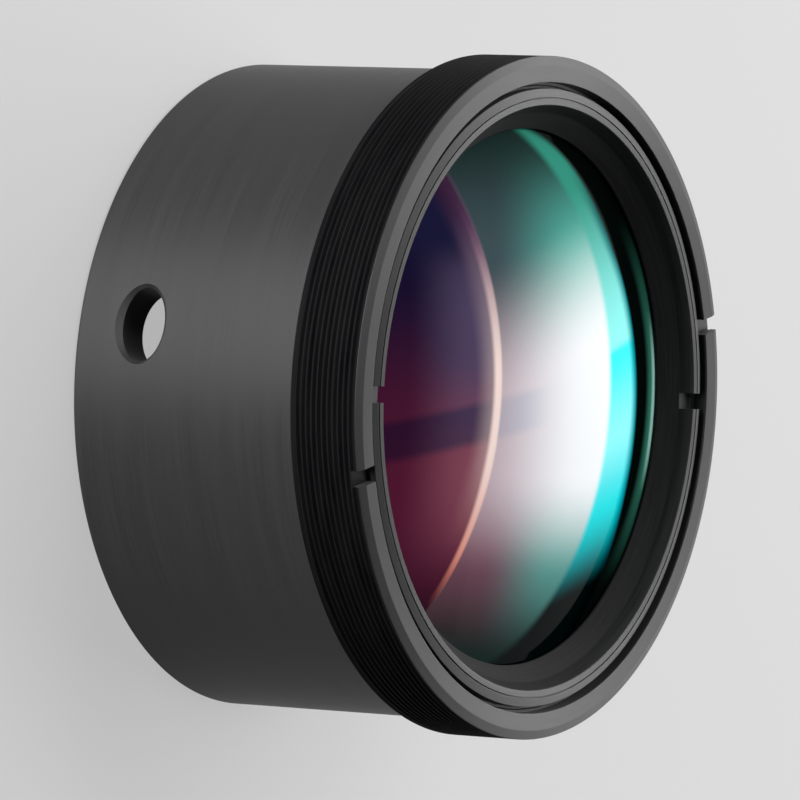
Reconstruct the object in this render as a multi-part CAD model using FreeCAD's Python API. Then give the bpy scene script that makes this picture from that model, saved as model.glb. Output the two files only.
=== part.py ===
"""Interferometer lens: three coated elements in a turned black barrel with a threaded front flange.

Millimetres. The barrel stands on its open rear end. +Z is the optical axis, towards the front
element, and the origin is the centre of the rear face.
"""
import FreeCAD, Part
import math
import os

os.makedirs("parts", exist_ok=True)

# Barrel
body_length = 57.0
skirt_wall = 6.7
rear_bevel = 0.6

# Front flange, which screws into the instrument
flange_step = 2.5
rim_wall = 4.8
mount_thread_pitch = 1.0
flange_length = 13.2
flange_back_bevel = 0.4
front_bevel_width = 1.5
front_bevel_height = 0.5

# Plain relief in front of the ring's thread
thread_relief = 0.5
relief_depth = 2.5

# Spanner slots cut across the front rim
rim_slot_width = 2.6
rim_slot_depth = 1.75
rim_slot_azimuth = -75.2

# Oval window milled through the rear skirt
window_height = 12.4
window_width = 8.0
window_length = 12.2
window_bevel = 0.6
window_azimuth = -99.6

# Front retaining ring
ring_recess = 0.35
ring_height = 5.1
ring_land_setback = 0.55
ring_land_height = 2.2
ring_slope_width = 1.4
ring_slope_drop = 0.35
ring_face_width = 2.65
ring_throat_depth = 2.05
ring_throat_taper = 1.25
ring_lip_height = 0.4
front_slot_width = 2.65
front_slot_depth = 2.05
front_slot_azimuth = 90.8

# Elements
front_element_radius = 46.0
crown_front_curve = 220.0
crown_rear_curve = 150.0
crown_edge = 5.0
crown_gap = 1.0
flint_front_curve = 148.0
flint_rear_curve = 600.0
flint_centre = 5.0
rear_element_step = 1.0
rear_front_curve = 900.0
rear_rear_curve = 160.0
rear_element_edge = 3.5
element_bevel = 0.3
polish_margin = 1.5

# What holds the elements
cushion_thickness = 0.3
ring_overhang = 0.45
shoulder_thickness = 3.0
seal_width = 1.6
seal_depth = 0.8

# Rear retaining ring, its thread and the wider skirt behind it
rear_thread_step = 1.0
skirt_relief = 0.8
rear_ring_height = 4.0
rear_ring_bevel = 0.6
rear_slot_width = 4.0
rear_slot_depth = 2.0
rear_slot_azimuth = 25.0

# Clearances
thread_clearance = 0.1
element_clearance = 0.05
ring_run_out = 0.6
cushion_clearance = 0.1

# Radii, worked out from the elements to the mounting thread
rear_element_radius = front_element_radius - rear_element_step
front_polish_radius = front_element_radius - polish_margin
rear_polish_radius = rear_element_radius - polish_margin
front_aperture_radius = front_polish_radius - ring_overhang
rear_aperture_radius = rear_polish_radius - ring_overhang
shoulder_radius = rear_polish_radius - cushion_clearance
front_bore_radius = front_element_radius + element_clearance
rear_bore_radius = rear_element_radius + element_clearance
rear_thread_radius = rear_element_radius + rear_thread_step
skirt_radius = rear_thread_radius + skirt_relief
barrel_radius = skirt_radius + skirt_wall
mount_thread_radius = barrel_radius + flange_step
front_thread_radius = mount_thread_radius - rim_wall
ring_land_radius = front_thread_radius - ring_land_setback
ring_throat_radius = ring_land_radius - ring_face_width

# Heights of the stack, worked out from the front face down
ring_front = body_length - ring_recess
ring_back = ring_front - ring_height
crown_front = ring_back - cushion_thickness
crown_back = crown_front - crown_edge
flint_front = crown_back - crown_gap


def sag(curve, radius):
    """Depth of a spherical surface of that curve at that radius."""
    return curve - math.sqrt(curve ** 2 - radius ** 2)


flint_apex = flint_front - sag(flint_front_curve, front_polish_radius)
flint_back = flint_apex - flint_centre + sag(flint_rear_curve, front_polish_radius)
shoulder_top = flint_back - cushion_thickness
shoulder_bottom = shoulder_top - shoulder_thickness
rear_front = shoulder_bottom - cushion_thickness
rear_back = rear_front - rear_element_edge
rear_ring_front = rear_back - cushion_thickness
rear_ring_back = rear_ring_front - rear_ring_height

ring_seat = ring_back - ring_run_out
rear_ring_seat = rear_ring_front + ring_run_out
rear_thread_end = rear_ring_back - 2 * mount_thread_pitch
crown_seal_height = (crown_front + crown_back) / 2
rear_seal_height = (rear_front + rear_back) / 2
origin = FreeCAD.Vector(0, 0, 0)
axis = FreeCAD.Vector(0, 0, 1)


def turned(corners, curved=None):
    """Solid turned about the axis from (radius, height) corners.

    curved gives, for the corner that an arc starts from, a point that the arc passes.
    """
    curved = curved or {}
    places = [FreeCAD.Vector(radius, 0, height) for radius, height in corners]
    edges = []
    for index, start in enumerate(places):
        end = places[(index + 1) % len(places)]
        if index in curved:
            through = FreeCAD.Vector(curved[index][0], 0, curved[index][1])
            edges.append(Part.Arc(start, through, end).toShape())
        else:
            edges.append(Part.LineSegment(start, end).toShape())
    return Part.Face(Part.Wire(edges)).revolve(origin, axis, 360)


def element(radius, polish, front, front_curve, back, back_curve):
    """Glass disc between two spherical surfaces; a negative curve is hollow."""

    def surface(height, curve, outward):
        side = outward * math.copysign(1, curve)
        apex = height + side * sag(abs(curve), polish)
        half = height + side * (sag(abs(curve), polish) - sag(abs(curve), polish / 2))
        return apex, (polish / 2, half)

    front_apex, front_half = surface(front, front_curve, 1)
    back_apex, back_half = surface(back, back_curve, -1)
    corners = [
        (0, front_apex),
        (polish, front),
        (radius - element_bevel, front),
        (radius, front - element_bevel),
        (radius, back + element_bevel),
        (radius - element_bevel, back),
        (polish, back),
        (0, back_apex),
    ]
    return turned(corners, {0: front_half, 6: back_half})


def flat_ring(inner, outer, bottom, top):
    """Plain ring of rectangular section."""
    return turned([(inner, bottom), (outer, bottom), (outer, top), (inner, top)])


def slot_across(width, bottom, top, azimuth):
    """Bar right across the axis, for a pair of opposite spanner slots."""
    reach = 2 * mount_thread_radius + 2 * width
    bar = Part.makeBox(reach, width, top - bottom, FreeCAD.Vector(-reach / 2, -width / 2, bottom))
    bar.rotate(origin, axis, azimuth)
    return bar


def seal_groove(bore, height):
    """Groove round a bore, centred at that height, that holds an edge seal."""
    half = seal_width / 2
    return flat_ring(bore - seal_depth, bore + seal_depth, height - half, height + half)


def oval(width, length, start, depth, grow):
    """Bar of oval section along +X, that grows by grow on all sides over its depth."""

    def outline(place, extra):
        centre = FreeCAD.Vector(place, 0, 0)
        ends = [
            centre + FreeCAD.Vector(0, length / 2 + extra, 0),
            centre + FreeCAD.Vector(0, 0, width / 2 + extra),
        ]
        ends.sort(key=centre.distanceToPoint, reverse=True)
        return Part.Wire(Part.Ellipse(ends[0], ends[1], centre).toShape())

    return Part.makeLoft([outline(start, 0), outline(start + depth, grow)], True, True)


def window_cutter():
    """The milled window with its bevelled mouth, across the skirt's wall."""
    mouth = math.sqrt(barrel_radius ** 2 - (window_length / 2) ** 2)
    through = oval(window_width, window_length, skirt_radius / 2, barrel_radius, 0)
    flare = 2 * window_bevel + barrel_radius - mouth
    bevelled = oval(window_width, window_length, mouth - window_bevel, flare, flare)
    cutter = through.fuse(bevelled)
    cutter.translate(FreeCAD.Vector(0, 0, window_height))
    cutter.rotate(origin, axis, window_azimuth)
    return cutter


def make_barrel():
    flange_back = body_length - flange_length
    rim_radius = mount_thread_radius - front_bevel_width
    relief_radius = front_thread_radius + thread_relief
    relief_end = body_length - relief_depth
    body = turned([
        (skirt_radius + rear_bevel, 0),
        (barrel_radius - rear_bevel, 0),
        (barrel_radius, rear_bevel),
        (barrel_radius, flange_back),
        (mount_thread_radius - flange_back_bevel, flange_back),
        (mount_thread_radius, flange_back + flange_back_bevel),
        (mount_thread_radius, body_length - front_bevel_height),
        (rim_radius, body_length),
        (relief_radius, body_length),
        (relief_radius, relief_end),
        (front_thread_radius, relief_end),
        (front_thread_radius, ring_seat),
        (front_bore_radius, ring_seat),
        (front_bore_radius, shoulder_top),
        (shoulder_radius, shoulder_top),
        (shoulder_radius, shoulder_bottom),
        (rear_bore_radius, shoulder_bottom),
        (rear_bore_radius, rear_ring_seat),
        (rear_thread_radius, rear_ring_seat),
        (rear_thread_radius, rear_thread_end),
        (skirt_radius, rear_thread_end),
        (skirt_radius, rear_bevel),
    ])
    slot_floor = body_length - rim_slot_depth
    cuts = [
        slot_across(rim_slot_width, slot_floor, body_length + rim_slot_depth, rim_slot_azimuth),
        window_cutter(),
        seal_groove(front_bore_radius, crown_seal_height),
        seal_groove(rear_bore_radius, rear_seal_height),
    ]
    for cut in cuts:
        body = body.cut(cut)
    return body


def make_front_ring():
    outer = front_thread_radius - thread_clearance
    land_back = ring_front - ring_land_height
    ring = turned([
        (ring_throat_radius - ring_throat_taper, ring_front - ring_throat_depth),
        (ring_throat_radius, ring_front),
        (ring_land_radius - ring_slope_width, ring_front),
        (ring_land_radius, ring_front - ring_slope_drop),
        (ring_land_radius, land_back),
        (outer, land_back),
        (outer, ring_back),
        (front_aperture_radius, ring_back),
        (front_aperture_radius, ring_back + ring_lip_height),
    ])
    slot_floor = ring_front - front_slot_depth
    return ring.cut(slot_across(front_slot_width, slot_floor, body_length, front_slot_azimuth))


def make_rear_ring():
    outer = rear_thread_radius - thread_clearance
    ring = turned([
        (rear_aperture_radius, rear_ring_front),
        (outer, rear_ring_front),
        (outer, rear_ring_back + rear_ring_bevel),
        (outer - rear_ring_bevel, rear_ring_back),
        (rear_aperture_radius + rear_ring_bevel, rear_ring_back),
        (rear_aperture_radius, rear_ring_back + rear_ring_bevel),
    ])
    slot_floor = rear_ring_back + rear_slot_depth
    return ring.cut(slot_across(rear_slot_width, 0, slot_floor, rear_slot_azimuth))


def edge_seal(radius, height):
    """Elastic ring in its groove round an element's edge."""
    half = seal_width / 2 - cushion_clearance
    outer = radius + element_clearance + seal_depth - cushion_clearance
    return flat_ring(radius, outer, height - half, height + half)


def cushion(polish, radius, bottom):
    """Thin plastic washer on the flat edge of an element."""
    inner = polish + cushion_clearance
    outer = radius - cushion_clearance
    return flat_ring(inner, outer, bottom, bottom + cushion_thickness)


def make_element_spacer():
    inner = front_polish_radius + cushion_clearance
    return flat_ring(inner, front_element_radius - cushion_clearance, flint_front, crown_back)


pieces = {
    "barrel": make_barrel(),
    "front_ring": make_front_ring(),
    "front_cushion": cushion(front_polish_radius, front_element_radius, crown_front),
    "crown_element": element(
        front_element_radius, front_polish_radius,
        crown_front, crown_front_curve, crown_back, crown_rear_curve,
    ),
    "crown_edge_seal": edge_seal(front_element_radius, crown_seal_height),
    "element_spacer": make_element_spacer(),
    "flint_element": element(
        front_element_radius, front_polish_radius,
        flint_front, -flint_front_curve, flint_back, flint_rear_curve,
    ),
    "shoulder_cushion": cushion(front_polish_radius, front_element_radius, shoulder_top),
    "rear_seat_cushion": cushion(rear_polish_radius, rear_element_radius, rear_front),
    "rear_element": element(
        rear_element_radius, rear_polish_radius,
        rear_front, rear_front_curve, rear_back, rear_rear_curve,
    ),
    "rear_edge_seal": edge_seal(rear_element_radius, rear_seal_height),
    "rear_ring_cushion": cushion(rear_polish_radius, rear_element_radius, rear_ring_front),
    "rear_ring": make_rear_ring(),
}

for name, shape in pieces.items():
    solids = shape.Solids
    assert len(solids) == 1 and shape.isValid(), name
    solids[0].exportStep("parts/" + name + ".step")
    print(name, round(solids[0].Volume, 1), "mm3")
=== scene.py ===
"""Interferometer lens: the finish of its turned barrel, its rings and its coated elements.

The frame's axes are used throughout. Sizes are in millimetres, and become metres where a mesh is made.
"""
import math

import bmesh
import bpy
from mathutils import Matrix, Vector


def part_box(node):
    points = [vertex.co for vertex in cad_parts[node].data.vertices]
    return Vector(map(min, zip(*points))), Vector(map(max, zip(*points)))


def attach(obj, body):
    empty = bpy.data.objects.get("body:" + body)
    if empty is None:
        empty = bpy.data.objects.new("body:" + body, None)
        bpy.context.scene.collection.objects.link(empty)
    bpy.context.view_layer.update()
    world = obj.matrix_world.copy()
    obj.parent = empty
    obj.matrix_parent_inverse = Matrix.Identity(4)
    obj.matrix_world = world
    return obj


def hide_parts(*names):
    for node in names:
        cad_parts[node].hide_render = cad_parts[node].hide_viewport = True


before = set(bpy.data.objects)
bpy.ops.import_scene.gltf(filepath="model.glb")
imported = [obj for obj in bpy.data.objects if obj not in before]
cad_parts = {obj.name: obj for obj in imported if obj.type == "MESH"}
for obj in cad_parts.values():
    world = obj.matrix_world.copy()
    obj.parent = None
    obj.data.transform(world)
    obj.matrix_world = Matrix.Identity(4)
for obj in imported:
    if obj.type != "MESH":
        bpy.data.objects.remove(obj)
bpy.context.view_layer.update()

MM = 0.001
COLUMNS = 360
dome_steps = 24
window_steps = 72
arc_margin = 1.4


def node_size(node):
    """Outer radius, lowest and highest point of a turned node, in millimetres."""
    low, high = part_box(node)
    return high.x / MM, low.z / MM, high.z / MM


# Sizes read from the frame
mount_radius, rear_face, front_face = node_size("barrel")
ring_outer, ring_back, ring_front = node_size("front_ring")
crown_radius, crown_low, crown_apex = node_size("crown_element")
rear_radius, rear_low, rear_apex = node_size("rear_element")
rear_ring_outer, rear_ring_back, rear_ring_front = node_size("rear_ring")

# Barrel, as walls and steps from the mounting thread
flange_step = 2.5
flange_length = 13.2
skirt_wall = 6.7
rear_bevel = 0.6
flange_back_bevel = 0.4
front_bevel_width = 1.5
front_bevel_height = 0.5
rim_wall = 4.8
thread_relief = 0.5
relief_depth = 2.5
thread_pitch = 1.0
thread_depth = 0.55
thread_profile = ((0.0, 0.0), (0.14, 0.0), (0.44, 1.0), (0.70, 1.0))
thread_start = 0.02
inner_thread_depth = 0.4
ring_run_out = 0.6
shoulder_thickness = 3.0
cushion_thickness = 0.3
crown_edge = 5.0
rear_element_edge = 3.5
element_clearance = 0.05
thread_clearance = 0.1
edge_rounding = 0.1
floor_gap = 0.02

barrel_radius = mount_radius - flange_step
skirt_radius = barrel_radius - skirt_wall
flange_back = front_face - flange_length
front_thread = mount_radius - rim_wall
rear_thread = rear_ring_outer + thread_clearance
rear_thread_end = rear_ring_back - 2 * thread_pitch
rear_back = rear_ring_front + cushion_thickness
rear_front = rear_back + rear_element_edge
shoulder_bottom = rear_front + cushion_thickness
shoulder_top = shoulder_bottom + shoulder_thickness

# Slots, as width, depth and azimuth
rim_slot = (2.6, 1.75, -75.2)
front_slot = (2.65, 2.05, 90.8)
rear_slot = (4.0, 2.0, 25.0)

# Oval window through the skirt
window_height = 12.4
window_width = 8.0
window_length = 12.2
window_bevel = 0.6
window_azimuth = -99.6

# Rings and the polished surfaces that they frame
ring_land_setback = 0.55
ring_land_height = 2.2
ring_slope_width = 1.4
ring_slope_drop = 0.35
ring_face_width = 2.65
ring_line_width = 0.22
ring_line_depth = 0.25
ring_throat_depth = 2.05
ring_throat_taper = 1.25
ring_lip_height = 0.4
ring_overhang = 0.45
rear_ring_bevel = 0.6
polish_margin = 1.5
element_bevel = 0.3

ring_land = front_thread - ring_land_setback
ring_throat = ring_land - ring_face_width
crown_polish = crown_radius - polish_margin
rear_polish = rear_radius - polish_margin
front_aperture = crown_polish - ring_overhang
rear_aperture = rear_polish - ring_overhang
shoulder_radius = rear_polish - thread_clearance
crown_front = ring_back - cushion_thickness
crown_back = crown_front - crown_edge


# Meshes

def rounded(corners, radius, sharp=()):
    """The closed outline with each corner, but those in sharp, replaced by a small arc of three points.

    A further point on either side of the arc keeps the shading of the straight stretches true.
    """
    points = []
    for index, corner in enumerate(corners):
        here = Vector(corner)
        before = Vector(corners[index - 1])
        after = Vector(corners[(index + 1) % len(corners)])
        reach = min(radius, (before - here).length / 3, (after - here).length / 3)
        if index in sharp:
            points.append((here, index))
            continue
        back = (before - here).normalized() * reach
        on = (after - here).normalized() * reach
        middle = here + (back + on) / 4
        arc = [here + back * arc_margin, here + back, middle, here + on, here + on * arc_margin]
        points.extend([(point, index) for point in arc])
    return points


def thread_columns(mesh, low_row, high_row, radius, depth):
    """Vertices of each column of a helical thread between two rows; the groove fades at both ends.

    The thread's profile is a row of points, each with its share of the pitch and of the depth.
    """
    low = low_row[0].co.z / MM
    high = high_row[0].co.z / MM
    turns = math.ceil((high - low) / thread_pitch) + 2
    columns = []
    for column in range(COLUMNS):
        angle = 2 * math.pi * column / COLUMNS
        line = []
        for turn in range(turns):
            for part, share in thread_profile:
                height = low + thread_pitch * (turn - 1 + part + column / COLUMNS)
                if height <= low + thread_start:
                    line.append(low_row[column])
                elif height >= high - thread_start:
                    line.append(high_row[column])
                else:
                    fading = min(1, (height - low) / thread_pitch, (high - height) / thread_pitch)
                    reach = radius - depth * share * fading
                    spot = (reach * math.cos(angle) * MM, reach * math.sin(angle) * MM, height * MM)
                    line.append(mesh.verts.new(spot))
        columns.append(line)
    count = len(thread_profile)
    wrapped = columns[0][count:] + [high_row[0]] * count
    return columns + [wrapped]


def add_face(mesh, corners):
    """A face from corners that may repeat, or nothing if fewer than three are left."""
    kept = [v for i, v in enumerate(corners) if v is not corners[i - 1]]
    if len(kept) > 2:
        mesh.faces.new(kept)


def lathe(name, points, threads=None):
    """Solid turned about the axis from a closed outline of (place, label) points.

    threads gives, for the label of the corner that a thread starts from, its depth: it runs up to
    the next corner, and a negative depth cuts outward, as in a nut.
    """
    threads = threads or {}
    mesh = bmesh.new()
    rows = []
    for place, label in points:
        if place[0] == 0:
            rows.append([mesh.verts.new((0, 0, place[1] * MM))] * COLUMNS)
            continue
        row = []
        for column in range(COLUMNS):
            angle = 2 * math.pi * column / COLUMNS
            row.append(mesh.verts.new((
                place[0] * math.cos(angle) * MM, place[0] * math.sin(angle) * MM, place[1] * MM,
            )))
        rows.append(row)
    for index, (place, label) in enumerate(points):
        following = (index + 1) % len(points)
        row, after = rows[index], rows[following]
        if label in threads and points[following][1] != label:
            low_row, high_row = (row, after) if place[1] < points[following][0][1] else (after, row)
            columns = thread_columns(mesh, low_row, high_row, place[0], threads[label])
            for left, right in zip(columns, columns[1:]):
                for step in range(len(left) - 1):
                    add_face(mesh, [left[step], right[step], right[step + 1], left[step + 1]])
            continue
        for column in range(COLUMNS):
            beside = (column + 1) % COLUMNS
            add_face(mesh, [row[column], row[beside], after[beside], after[column]])
    return finished(name, mesh)


def finished(name, mesh):
    """The mesh as an object of the scene, with its faces turned outward."""
    bmesh.ops.recalc_face_normals(mesh, faces=mesh.faces)
    data = bpy.data.meshes.new(name)
    mesh.to_mesh(data)
    mesh.free()
    piece = bpy.data.objects.new(name, data)
    bpy.context.scene.collection.objects.link(piece)
    return piece


def prism(name, outlines):
    """Closed solid through outlines with as many points each, with a flat cap at both ends."""
    mesh = bmesh.new()
    rings = [[mesh.verts.new(point * MM) for point in outline] for outline in outlines]
    count = len(rings[0])
    for ring, after in zip(rings, rings[1:]):
        for index in range(count):
            beside = (index + 1) % count
            mesh.faces.new([ring[index], ring[beside], after[beside], after[index]])
    mesh.faces.new(rings[0])
    mesh.faces.new(rings[-1])
    return finished(name, mesh)


def slot_bar(slot, floor, roof):
    """Bar right across the axis that cuts a pair of opposite slots."""
    width, depth, azimuth = slot
    turn = Matrix.Rotation(math.radians(azimuth), 3, "Z")
    reach = 2 * mount_radius
    outline = [(-reach, -width / 2), (reach, -width / 2), (reach, width / 2), (-reach, width / 2)]
    return prism("slot_bar", [[turn @ Vector((x, y, z)) for x, y in outline] for z in (floor, roof)])


def window_bar():
    """Bar of oval section with a flaring mouth that cuts the window."""
    turn = Matrix.Rotation(math.radians(window_azimuth), 3, "Z")
    mouth = math.sqrt(barrel_radius ** 2 - (window_length / 2) ** 2)
    flare = 2 * window_bevel + barrel_radius - mouth
    edge = mouth - window_bevel
    outlines = []
    for place, grow in ((skirt_radius / 2, 0), (edge, 0), (edge + flare, flare)):
        outline = []
        for step in range(window_steps):
            angle = 2 * math.pi * step / window_steps
            across = (window_length / 2 + grow) * math.sin(angle)
            along = (window_width / 2 + grow) * math.cos(angle)
            outline.append(turn @ Vector((place, across, window_height + along)))
        outlines.append(outline)
    return prism("window_bar", outlines)


def cut(piece, *bars):
    """Cuts the bars out of the piece."""
    for bar in bars:
        modifier = piece.modifiers.new("cut", "BOOLEAN")
        modifier.operation = "DIFFERENCE"
        modifier.solver = "EXACT"
        modifier.object = bar
    bpy.context.view_layer.update()
    shape = piece.evaluated_get(bpy.context.evaluated_depsgraph_get())
    data = bpy.data.meshes.new_from_object(shape)
    piece.modifiers.clear()
    piece.data = data
    for bar in bars:
        bpy.data.objects.remove(bar)


def shade(piece, degrees=28):
    """Smooth shading, with every edge sharper than that angle kept crisp."""
    piece.data.polygons.foreach_set("use_smooth", [True] * len(piece.data.polygons))
    piece.data.set_sharp_from_angle(angle=math.radians(degrees))


def place(piece, node, slot, material):
    """The piece stands for that node, rides on the one body and gets its finish."""
    shade(piece)
    piece.data.materials.clear()
    piece.data.materials.append(material)
    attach(piece, "root")
    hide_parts(node)


# Materials

def new_material(name):
    """A material with its node tree and its surface shader."""
    material = bpy.data.materials.new(name)
    material.use_nodes = True
    tree = material.node_tree
    return material, tree, tree.nodes["Principled BSDF"]


def linear(code):
    """Linear colour of a six-digit sRGB code."""
    parts = [int(code[start:start + 2], 16) / 255 for start in (0, 2, 4)]
    return [part / 12.92 if part <= 0.04045 else ((part + 0.055) / 1.055) ** 2.4 for part in parts] + [1]


def add_node(tree, kind, **settings):
    node = tree.nodes.new("ShaderNode" + kind)
    for name, value in settings.items():
        setattr(node, name, value)
    return node


def feed(tree, socket, value):
    """Links an output to the socket, or writes a plain value there."""
    if isinstance(value, bpy.types.NodeSocket):
        tree.links.new(value, socket)
    else:
        socket.default_value = value


def maths(tree, operation, *values):
    node = add_node(tree, "Math", operation=operation)
    for socket, value in zip(node.inputs, values):
        feed(tree, socket, value)
    return node.outputs[0]


def fade(tree, value, low, high):
    """Smooth step from 0 where the value is low to 1 where it is high."""
    node = add_node(tree, "MapRange", interpolation_type="SMOOTHSTEP")
    for name, setting in (("Value", value), ("From Min", low), ("From Max", high)):
        feed(tree, node.inputs[name], setting)
    return node.outputs["Result"]


def mix(tree, factor, first, second, kind="MIX"):
    """Colour from first to second by the factor."""
    node = add_node(tree, "Mix", data_type="RGBA", blend_type=kind)
    colours = [socket for socket in node.inputs if socket.type == "RGBA"]
    for socket, value in zip([node.inputs[0]] + colours, (factor, first, second)):
        feed(tree, socket, value)
    return [socket for socket in node.outputs if socket.type == "RGBA"][0]


def ramp(tree, value, *stops):
    """Colour along a value; the stops are pairs of a value and a colour code."""
    low = stops[0][0]
    high = stops[-1][0]
    node = add_node(tree, "ValToRGB")
    elements = node.color_ramp.elements
    elements[0].position = 0
    elements[1].position = 1
    for place, code in stops[1:-1]:
        elements.new((place - low) / (high - low))
    for element, (place, code) in zip(elements, stops):
        element.color = linear(code)
    share = maths(tree, "DIVIDE", maths(tree, "SUBTRACT", value, low), high - low)
    feed(tree, node.inputs["Fac"], share)
    return node.outputs["Color"]


def length_of(tree, first, second):
    """Length of the arrow with those two components."""
    squares = [maths(tree, "MULTIPLY", part, part) for part in (first, second)]
    return maths(tree, "SQRT", maths(tree, "ADD", *squares))


def spot_on_piece(tree):
    """The spot's X, Y and Z in millimetres, and its distance from the axis."""
    axes = add_node(tree, "SeparateXYZ")
    tree.links.new(add_node(tree, "TexCoord").outputs["Object"], axes.inputs[0])
    x, y, z = [maths(tree, "DIVIDE", output, MM) for output in axes.outputs]
    return x, y, z, length_of(tree, x, y)


def noise(tree, vector, scale, detail=2.0):
    node = add_node(tree, "TexNoise")
    node.inputs["Scale"].default_value = scale
    node.inputs["Detail"].default_value = detail
    tree.links.new(vector, node.inputs["Vector"])
    return node.outputs["Fac"]


def turned_vector(tree, x, y, z, radius, pitch, drift):
    """Coordinates that change fast across the tool's marks, once a pitch, and slowly along them."""
    node = add_node(tree, "CombineXYZ")
    wide = maths(tree, "MAXIMUM", radius, 0.1)
    feed(tree, node.inputs[0], maths(tree, "MULTIPLY", maths(tree, "DIVIDE", x, wide), drift))
    feed(tree, node.inputs[1], maths(tree, "MULTIPLY", maths(tree, "DIVIDE", y, wide), drift))
    profile = maths(tree, "ADD", z, maths(tree, "MULTIPLY", radius, 0.73))
    feed(tree, node.inputs[2], maths(tree, "DIVIDE", profile, pitch))
    return node.outputs[0]


def add_bump(tree, surface, height, strength, distance):
    node = add_node(tree, "Bump")
    node.inputs["Strength"].default_value = strength
    node.inputs["Distance"].default_value = distance * MM
    tree.links.new(height, node.inputs["Height"])
    tree.links.new(node.outputs["Normal"], surface.inputs["Normal"])


def black_anodise():
    """Satin black anodise with the fine marks of the lathe."""
    material, tree, surface = new_material("black_anodise")
    x, y, z, radius = spot_on_piece(tree)
    fine = noise(tree, turned_vector(tree, x, y, z, radius, 0.22, 3.0), 1.0, 3.0)
    broad = noise(tree, turned_vector(tree, x, y, z, radius, 2.6, 1.2), 1.0)
    shade_mix = maths(tree, "ADD", maths(tree, "MULTIPLY", fine, 0.6), maths(tree, "MULTIPLY", broad, 0.4))
    tree.links.new(ramp(tree, shade_mix, (0.25, "1e1e1f"), (0.75, "2b2b2b")), surface.inputs["Base Color"])
    roughness = maths(tree, "ADD", 0.42, maths(tree, "MULTIPLY", shade_mix, 0.2))
    tree.links.new(roughness, surface.inputs["Roughness"])
    surface.inputs["Specular IOR Level"].default_value = 0.27
    surface.inputs["Anisotropic"].default_value = 0.7
    surface.inputs["Anisotropic Rotation"].default_value = 0.25
    round_axis = add_node(tree, "Tangent", direction_type="RADIAL", axis="Z")
    tree.links.new(round_axis.outputs[0], surface.inputs["Tangent"])
    add_bump(tree, surface, fine, 0.25, 0.02)
    return material


def matt_black(name, dark, light):
    """Matt black with little gloss and faint tool marks; the darker tints given on the thread are painted
    shade.
    """
    material, tree, surface = new_material(name)
    x, y, z, radius = spot_on_piece(tree)
    marks = noise(tree, turned_vector(tree, x, y, z, radius, 0.3, 4.0), 1.0, 3.0)
    tree.links.new(ramp(tree, marks, (0.3, dark), (0.7, light)), surface.inputs["Base Color"])
    roughness = maths(tree, "ADD", 0.5, maths(tree, "MULTIPLY", marks, 0.25))
    tree.links.new(roughness, surface.inputs["Roughness"])
    surface.inputs["Specular IOR Level"].default_value = 0.05
    add_bump(tree, surface, marks, 0.25, 0.02)
    return material


def paint_faces(piece, material, chosen):
    """Gives the faces whose centre's radius and height are chosen a material of their own."""
    piece.data.materials.append(material)
    for face in piece.data.polygons:
        if chosen(math.hypot(face.center.x, face.center.y) / MM, face.center.z / MM):
            face.material_index = 1


def circle_distance(tree, across, down, centre, circle_radius):
    """Distance outside a circle on the front element, in millimetres, and negative inside it."""
    first = maths(tree, "SUBTRACT", across, centre[0])
    second = maths(tree, "SUBTRACT", down, centre[1])
    return maths(tree, "SUBTRACT", length_of(tree, first, second), circle_radius)


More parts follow.
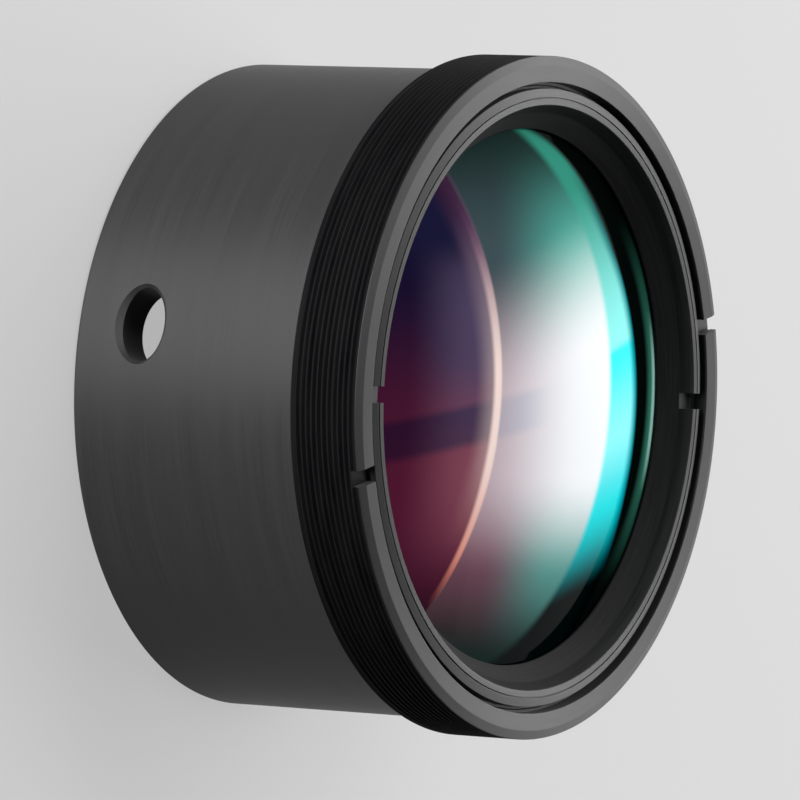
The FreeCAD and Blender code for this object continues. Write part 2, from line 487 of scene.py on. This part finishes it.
def crown_painted_reflections():
    """Polished glass with an anti-reflection coating, with painted reflections in a few broad crescents.

    Each crescent has a few plain tints that fade into each other, painted reflections fixed on the glass.
    They are laid out in millimetres
    from the axis: down runs along X, and across along Y.
    """
    material, tree, surface = new_material("crown_painted_reflections")
    down, across, z, radius = spot_on_piece(tree)
    off_middle = maths(tree, "ABSOLUTE", down)

    # Edges of the crescents; the last one widens towards both ends
    violet_edge = circle_distance(tree, across, down, (-66.55, 0.05), 54.88)
    pale_edge = circle_distance(tree, across, down, (-23.11, -0.03), 47.61)
    cyan_edge = circle_distance(tree, across, down, (-7.37, 2.26), 42.86)
    for past_end, power, share in (
        (maths(tree, "SUBTRACT", -25, down), 1.25, 0.0923),
        (maths(tree, "SUBTRACT", down, 13), 1.5, 0.025),
    ):
        bend = maths(tree, "POWER", maths(tree, "MAXIMUM", past_end, 0), power)
        cyan_edge = maths(tree, "SUBTRACT", cyan_edge, maths(tree, "MULTIPLY", bend, share))

    # Violet crescent, a painted reflection: indigo above, wine below, and a mauve veil on its inner side
    violet = mix(tree, fade(tree, down, -20, 16), linear("171230"), linear("581c36"))
    veil = mix(tree, fade(tree, down, -8, 12), linear("504462"), linear("84485a"))
    near_line = maths(tree, "MULTIPLY", fade(tree, across, -36, -19), fade(tree, off_middle, 36, 12))
    violet = mix(tree, near_line, violet, veil)
    violet = mix(tree, fade(tree, off_middle, 20, 44), violet, linear("140c18"))
    navy = maths(tree, "MULTIPLY", fade(tree, violet_edge, -3.2, -5.8), fade(tree, down, -19, -26))
    violet = mix(tree, navy, violet, linear("1a1a38"))

    # Pale crescent, a painted reflection of a softbox: white with a rosy side, and greener and darker
    # towards both ends
    pale = mix(tree, fade(tree, across, -20, 16), linear("bea6b0"), linear("f4f7fa"))
    upper = mix(tree, fade(tree, across, -14, 18), linear("3c4e54"), linear("50b4a4"))
    lower = mix(tree, fade(tree, across, -12, 10), linear("7a5060"), linear("60a49c"))
    leaning = maths(tree, "ADD", down, maths(tree, "MULTIPLY", across, 0.35))
    pale = mix(tree, fade(tree, leaning, -2, -27), pale, upper)
    pale = mix(tree, fade(tree, down, 12, 30), pale, lower)
    pale = mix(tree, fade(tree, off_middle, 22, 44), pale, linear("0c2420"))
    colour = mix(tree, fade(tree, violet_edge, -0.5, 0.3), violet, pale)

    # Blue streak across both, a painted reflection tint
    line = maths(tree, "ADD", maths(tree, "SUBTRACT", down, 1.7), maths(tree, "MULTIPLY", across, 0.17))
    band = fade(tree, maths(tree, "ABSOLUTE", line), 4.2, 2.2)
    faint = maths(tree, "MULTIPLY", fade(tree, across, 6, -6), 0.3)
    strong = maths(tree, "MULTIPLY", fade(tree, across, -10, -15), 0.7)
    streak = maths(tree, "MULTIPLY", band, maths(tree, "ADD", faint, strong))
    colour = mix(tree, streak, colour, linear("a6d0e8"), "MULTIPLY")

    # Bright line along the violet crescent, with its halo, a painted highlight: mauve, cream and salmon
    glow = mix(tree, fade(tree, down, -30, -2), linear("6c4064"), linear("fce4dc"))
    glow = mix(tree, fade(tree, down, 8, 32), glow, linear("e48470"))
    width = maths(tree, "MULTIPLY", fade(tree, down, -34, -16), fade(tree, down, 35, 24))
    halo = maths(tree, "MULTIPLY", fade(tree, violet_edge, -7, -0.4), fade(tree, violet_edge, 1.1, 0.1))
    thinner = maths(tree, "ADD", 1.0, maths(tree, "MULTIPLY", fade(tree, down, 10, 32), 0.6))
    beside = maths(tree, "MULTIPLY", violet_edge, thinner)
    bright = maths(tree, "MULTIPLY", fade(tree, beside, -2.2, -0.7), fade(tree, beside, 1.0, 0.1))
    halo = maths(tree, "MULTIPLY", halo, maths(tree, "MULTIPLY", fade(tree, down, 27, 9), 0.28))
    colour = mix(tree, halo, colour, glow)
    colour = mix(tree, maths(tree, "MULTIPLY", bright, width), colour, glow)

    # Cyan crescent, a painted reflection: teal to aqua above a slanted line, and purer cyan below it, with
    # a deeper margin
    slanted = maths(tree, "ADD", down, maths(tree, "MULTIPLY", maths(tree, "SUBTRACT", across, 24), 0.3))
    above = mix(tree, fade(tree, slanted, -40, -7), linear("2c8c78"), linear("90f4ee"))
    below = mix(tree, fade(tree, slanted, -8, 8), linear("30eef4"), linear("8cf6f8"))
    below = mix(tree, fade(tree, slanted, 6, 19), below, linear("10dce4"))
    below = mix(tree, fade(tree, slanted, 17, 31), below, linear("000606"))
    cyan = mix(tree, fade(tree, slanted, -9, -7), above, below)
    colour = mix(tree, fade(tree, pale_edge, -1.0, 1.2), colour, cyan)
    margin = maths(tree, "MULTIPLY", fade(tree, cyan_edge, -2.6, 0.1), fade(tree, across, 10, 22))
    tinted = mix(tree, margin, colour, linear("2a9aa4"), "MULTIPLY")

    # Black outer zone, with a green painted reflection and a thin painted highlight line at the edge
    near_edge = fade(tree, radius, front_aperture - 4.5, front_aperture - 1.0)
    edge_glow = maths(tree, "MULTIPLY", near_edge, fade(tree, across, 20, 36))
    edge_glow = maths(tree, "MULTIPLY", edge_glow, fade(tree, off_middle, 32, 2))
    black = mix(tree, edge_glow, linear("030706"), linear("3c8872"))
    edge_line = maths(tree, "MULTIPLY", fade(tree, radius, 42.2, 43.3), fade(tree, off_middle, 16, 5))
    edge_line = maths(tree, "MULTIPLY", edge_line, fade(tree, across, 30, 40))
    black = mix(tree, edge_line, black, linear("b4eee2"))
    colour = mix(tree, fade(tree, cyan_edge, -0.4, 0.7), tinted, black)
    tree.links.new(colour, surface.inputs["Base Color"])

    specks = noise(tree, add_node(tree, "TexCoord").outputs["Object"], 900.0)
    roughness = maths(tree, "ADD", 0.04, maths(tree, "MULTIPLY", specks, 0.03))
    tree.links.new(roughness, surface.inputs["Roughness"])
    surface.inputs["Specular IOR Level"].default_value = 0.002
    return material


def coated_glass(name, centre, middle, rim):
    """Deep coated glass whose tint, a painted reflection tint, changes from the centre to the rim."""
    material, tree, surface = new_material(name)
    x, y, z, radius = spot_on_piece(tree)
    cloud = noise(tree, add_node(tree, "TexCoord").outputs["Object"], 25.0)
    place = maths(tree, "ADD", radius, maths(tree, "MULTIPLY", cloud, 6.0))
    tree.links.new(ramp(tree, place, (3, centre), (30, middle), (48, rim)), surface.inputs["Base Color"])
    roughness = maths(tree, "ADD", 0.03, maths(tree, "MULTIPLY", cloud, 0.04))
    tree.links.new(roughness, surface.inputs["Roughness"])
    surface.inputs["Specular IOR Level"].default_value = 0.6
    return material


def moulded(name, dark, light, grain, roughness):
    """Matt plastic or rubber with a fine grain."""
    material, tree, surface = new_material(name)
    grains = noise(tree, add_node(tree, "TexCoord").outputs["Object"], grain, 4.0)
    tree.links.new(ramp(tree, grains, (0.3, dark), (0.7, light)), surface.inputs["Base Color"])
    surface.inputs["Roughness"].default_value = roughness
    add_bump(tree, surface, grains, 0.3, 0.02)
    return material


# Pieces

def build_barrel(material):
    relief_end = front_face - relief_depth
    rim_bore = front_thread + thread_relief
    ring_seat = ring_back - ring_run_out
    rear_ring_seat = rear_ring_front + ring_run_out
    corners = [
        (skirt_radius + rear_bevel, rear_face),
        (barrel_radius - rear_bevel, rear_face),
        (barrel_radius, rear_bevel),
        (barrel_radius, flange_back),
        (mount_radius - flange_back_bevel, flange_back),
        (mount_radius, flange_back + flange_back_bevel),
        (mount_radius, front_face - front_bevel_height),
        (mount_radius - front_bevel_width, front_face),
        (rim_bore, front_face),
        (rim_bore, relief_end),
        (front_thread, relief_end),
        (front_thread, ring_seat),
        (crown_radius + element_clearance, ring_seat),
        (crown_radius + element_clearance, shoulder_top),
        (shoulder_radius, shoulder_top),
        (shoulder_radius, shoulder_bottom),
        (rear_radius + element_clearance, shoulder_bottom),
        (rear_radius + element_clearance, rear_ring_seat),
        (rear_thread, rear_ring_seat),
        (rear_thread, rear_thread_end),
        (skirt_radius, rear_thread_end),
        (skirt_radius, rear_bevel),
    ]
    points = rounded(corners, edge_rounding, sharp=range(11, 19))
    threads = {5: thread_depth, 10: -inner_thread_depth, 18: -inner_thread_depth}
    barrel = lathe("barrel_finish", points, threads)
    depth = rim_slot[1]
    cut(barrel, slot_bar(rim_slot, front_face - depth, front_face + depth), window_bar())
    place(barrel, "barrel", "black_anodise", material)
    thread_low = flange_back + flange_back_bevel
    thread_high = front_face - front_bevel_height - edge_rounding
    groove = barrel_radius + edge_rounding
    # Painted shade: the thread's faces get a darker matt black than the anodise, for the shade in its
    # grooves.
    paint_faces(
        barrel, matt_black("thread_painted_shade", "08080a", "131314"),
        lambda radius, height: radius > groove and thread_low < height < thread_high,
    )


def build_front_ring(material):
    land_back = ring_front - ring_land_height
    line = ring_land - ring_slope_width
    corners = [
        (ring_throat - ring_throat_taper, ring_front - ring_throat_depth),
        (ring_throat, ring_front),
        (line - ring_line_width, ring_front),
        (line - ring_line_width, ring_front - ring_line_depth),
        (line, ring_front - ring_line_depth),
        (line, ring_front),
        (ring_land, ring_front - ring_slope_drop),
        (ring_land, land_back),
        (ring_outer, land_back),
        (ring_outer, ring_back),
        (front_aperture, ring_back),
        (front_aperture, ring_back + ring_lip_height),
    ]
    ring = lathe("front_ring_finish", rounded(corners, edge_rounding))
    cut(ring, slot_bar(front_slot, ring_front - front_slot[1], front_face + front_slot[1]))
    place(ring, "front_ring", "black_anodise", material)
    paint_faces(
        ring, matt_black("throat_black", "262626", "313131"),
        lambda radius, height: radius < ring_throat - edge_rounding,
    )


def build_rear_ring(material):
    corners = [
        (rear_aperture, rear_ring_front),
        (rear_ring_outer, rear_ring_front),
        (rear_ring_outer, rear_ring_back + rear_ring_bevel),
        (rear_ring_outer - rear_ring_bevel, rear_ring_back),
        (rear_aperture + rear_ring_bevel, rear_ring_back),
        (rear_aperture, rear_ring_back + rear_ring_bevel),
    ]
    ring = lathe("rear_ring_finish", rounded(corners, edge_rounding))
    cut(ring, slot_bar(rear_slot, 0, rear_ring_back + rear_slot[1]))
    place(ring, "rear_ring", "black_anodise", material)


def dome(edge, rise, height, label):
    """Points of an arc from the axis to the polished edge; a positive rise is an apex above it."""
    curve = (edge ** 2 + rise ** 2) / (2 * abs(rise))
    points = []
    for step in range(dome_steps + 1):
        place = edge * step / dome_steps
        drop = curve - math.sqrt(curve ** 2 - place ** 2)
        points.append((Vector((place, height + math.copysign(abs(rise) - drop, rise))), label))
    return points


def build_element(name, node, polish, radius, front, apex, back, low, slot, material):
    """An element as a smooth turned solid between its two polished surfaces."""
    edge = [
        (radius - element_bevel, front),
        (radius, front - element_bevel),
        (radius, back + element_bevel),
        (radius - element_bevel, back),
    ]
    points = dome(polish, apex - front, front, 0)
    points += [(Vector(corner), 1 + index) for index, corner in enumerate(edge)]
    points += reversed(dome(polish, low - back, back, 5))
    place(lathe(name, points), node, slot, material)


# Camera, floor and lights

floor_reach = 8.0
floor_grey = 0.23
floor_glow = 0.45
world_level = 0.08
camera_distance = 1360.0
camera_tilt = math.radians(58.2)
camera_roll = math.radians(2.75)
photo_width = 800
focal_length_px = 8309.0
target_px = (545.1, 398.2)


def place_camera():
    """Camera at the photograph's angle, rolled a quarter turn so that the lens lies as it does there."""
    sine = math.sin(camera_tilt)
    cosine = math.cos(camera_tilt)
    back = Vector((0, -sine, cosine))
    level = Matrix(((0, cosine, sine), (-1, 0, 0), back))
    roll = Matrix.Rotation(-camera_roll, 3, "Z")
    middle = photo_width / 2
    aim = Vector((target_px[0] - middle, middle - target_px[1], -focal_length_px))
    offset = Vector((0, 0, -1)).rotation_difference(aim).to_matrix()
    turn = (offset @ roll @ level).transposed().to_4x4()
    data = bpy.data.cameras.new("camera")
    data.sensor_width = 36
    data.lens = focal_length_px * data.sensor_width / photo_width
    data.clip_end = 100
    camera = bpy.data.objects.new("camera", data)
    bpy.context.scene.collection.objects.link(camera)
    target = Vector((0, 0, front_face)) * MM
    camera.matrix_world = Matrix.Translation(target + back * camera_distance * MM) @ turn
    bpy.context.scene.camera = camera


def softbox(name, azimuth, elevation, distance, size, radiance):
    """Rectangular lamp that faces the lens from that direction, in degrees; distance and size in metres."""
    data = bpy.data.lights.new(name, "AREA")
    data.shape = "RECTANGLE"
    data.size, data.size_y = size
    data.energy = radiance * math.pi * size[0] * size[1]
    lamp = bpy.data.objects.new(name, data)
    bpy.context.scene.collection.objects.link(lamp)
    turn = math.radians(azimuth)
    lift = math.radians(elevation)
    away = Vector((math.cos(lift) * math.cos(turn), math.cos(lift) * math.sin(turn), math.sin(lift)))
    lamp.location = away * distance + Vector((0, 0, front_face * MM / 2))
    lamp.rotation_euler = (-away).to_track_quat("-Z", "Y").to_euler()


def build_floor():
    """Pale plain floor; its own share of the brightness also shows in glass and metal."""
    mesh = bmesh.new()
    bmesh.ops.create_grid(mesh, x_segments=8, y_segments=8, size=floor_reach)
    floor = finished("floor", mesh)
    material, tree, surface = new_material("floor")
    surface.inputs["Base Color"].default_value = (floor_grey, floor_grey, floor_grey, 1)
    surface.inputs["Roughness"].default_value = 0.9
    surface.inputs["Specular IOR Level"].default_value = 0.1
    path = add_node(tree, "LightPath")
    seen = maths(tree, "MAXIMUM", path.outputs["Is Camera Ray"], path.outputs["Is Glossy Ray"])
    seen = maths(tree, "MAXIMUM", seen, path.outputs["Is Transmission Ray"])
    surface.inputs["Emission Color"].default_value = (1, 1, 1, 1)
    feed(tree, surface.inputs["Emission Strength"], maths(tree, "MULTIPLY", seen, floor_glow))
    floor.data.materials.append(material)
    floor.location.z = -floor_gap * MM


def light_scene():
    """Soft light from above and behind, and a narrow strip for the sheen along the barrel's side."""
    world = bpy.data.worlds.new("studio")
    world.use_nodes = True
    background = world.node_tree.nodes["Background"]
    background.inputs["Color"].default_value = (1, 1, 1, 1)
    background.inputs["Strength"].default_value = world_level
    bpy.context.scene.world = world
    softbox("top_softbox", 170, 55, 1.7, (1.1, 1.1), 4.1)
    softbox("far_softbox", 104, 28, 1.3, (1.5, 0.7), 6.7)
    softbox("side_softbox", -110, 0, 1.1, (0.9, 0.1), 108)
    bpy.context.scene.view_settings.view_transform = "Standard"


anodise = black_anodise()
build_barrel(anodise)
build_front_ring(anodise)
build_rear_ring(anodise)
build_element(
    "crown_finish", "crown_element", crown_polish, crown_radius,
    crown_front, crown_apex, crown_back, crown_low, "coated_glass", crown_painted_reflections(),
)
# The rear element's tints are painted reflection tints.
build_element(
    "rear_finish", "rear_element", rear_polish, rear_radius,
    rear_front, rear_apex, rear_back, rear_low, "coated_glass",
    coated_glass("rear_painted_reflection_tint", "0c2b33", "14202f", "1c1020"),
)
film = moulded("cushion_film", "1a1a1a", "2a2a29", 2500.0, 0.5)
rubber = moulded("seal_rubber", "0d0d0d", "181817", 1800.0, 0.7)
finishes = {
    "element_spacer": anodise,
    # The flint's tints are painted reflection tints too.
    "flint_element": coated_glass("flint_painted_reflection_tint", "10282c", "12222c", "160f1c"),
    "front_cushion": film,
    "shoulder_cushion": film,
    "rear_seat_cushion": film,
    "rear_ring_cushion": film,
    "crown_edge_seal": rubber,
    "rear_edge_seal": rubber,
}
for node, material in finishes.items():
    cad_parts[node].data.materials.clear()
    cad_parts[node].data.materials.append(material)
place_camera()
build_floor()
light_scene()
